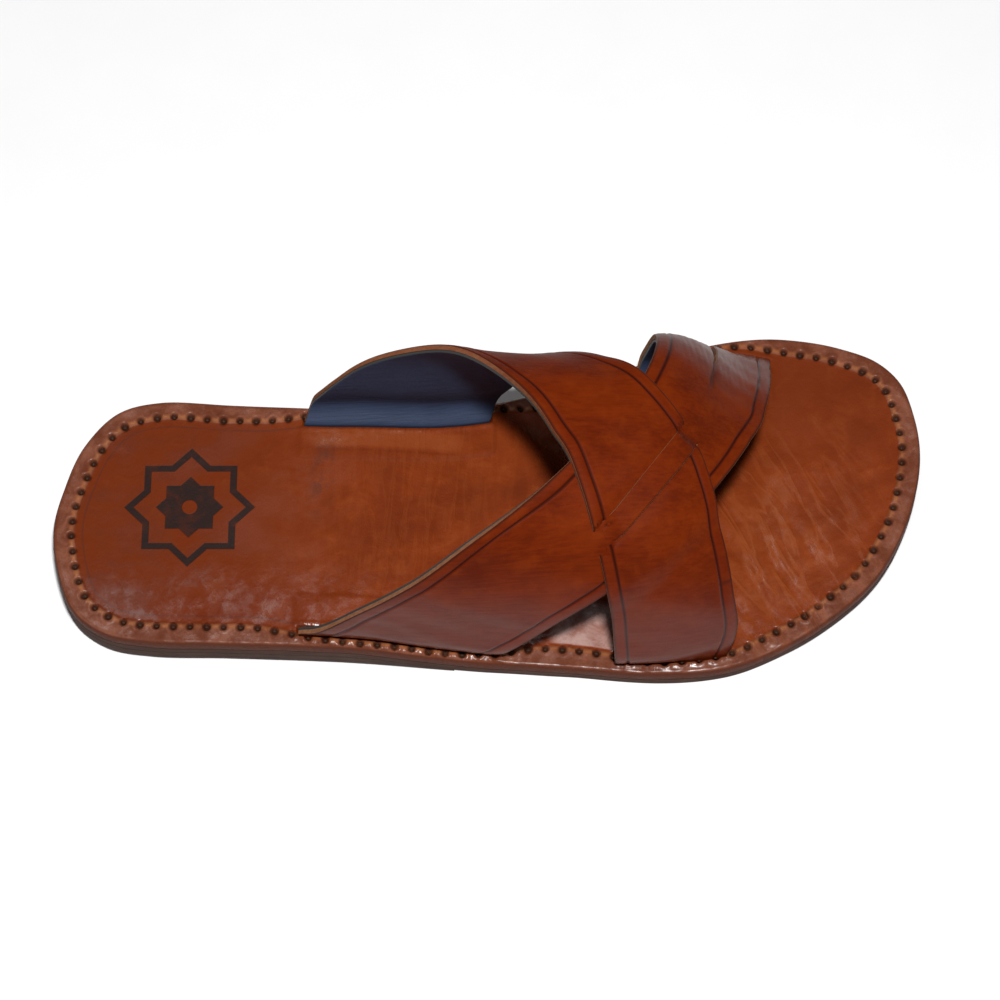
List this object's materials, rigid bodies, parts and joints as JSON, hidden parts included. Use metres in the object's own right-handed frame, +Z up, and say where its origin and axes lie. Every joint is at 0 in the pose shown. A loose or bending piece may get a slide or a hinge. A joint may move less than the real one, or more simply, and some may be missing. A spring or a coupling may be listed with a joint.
{
  "type": "flat sandal",
  "caption": "Flat leather slide sandal for the right foot: wide straps cross over the instep, tied together by a narrow keeper, on a layered leather sole with a low heel lift.",
  "frame": {"origin": "centre of the sandal's bounding box in X and Y, on the floor it stands on", "axes": "+X from heel to toe, +Y to the big toe side, +Z up"},
  "size_m": [0.273, 0.118, 0.0697],
  "materials": {
    "outsole_leather": "waxed sole leather with burnished edges",
    "lift_leather": "stacked leather, matte, with scuffed edges",
    "insole_leather": "smooth tan footbed leather, waxed and worn",
    "strap_leather": "oiled tan-brown leather, semi-gloss",
    "strap_lining": "dark navy lining leather, satin",
    "cut_edge": "raw cut leather edge, matte",
    "thread": "waxed sewing thread"
  },
  "bodies": {
    "root": {"outsole": "outsole_leather", "heel_lift": "lift_leather", "insole": "insole_leather", "upper": "strap_leather"}
  },
  "joints": []
}
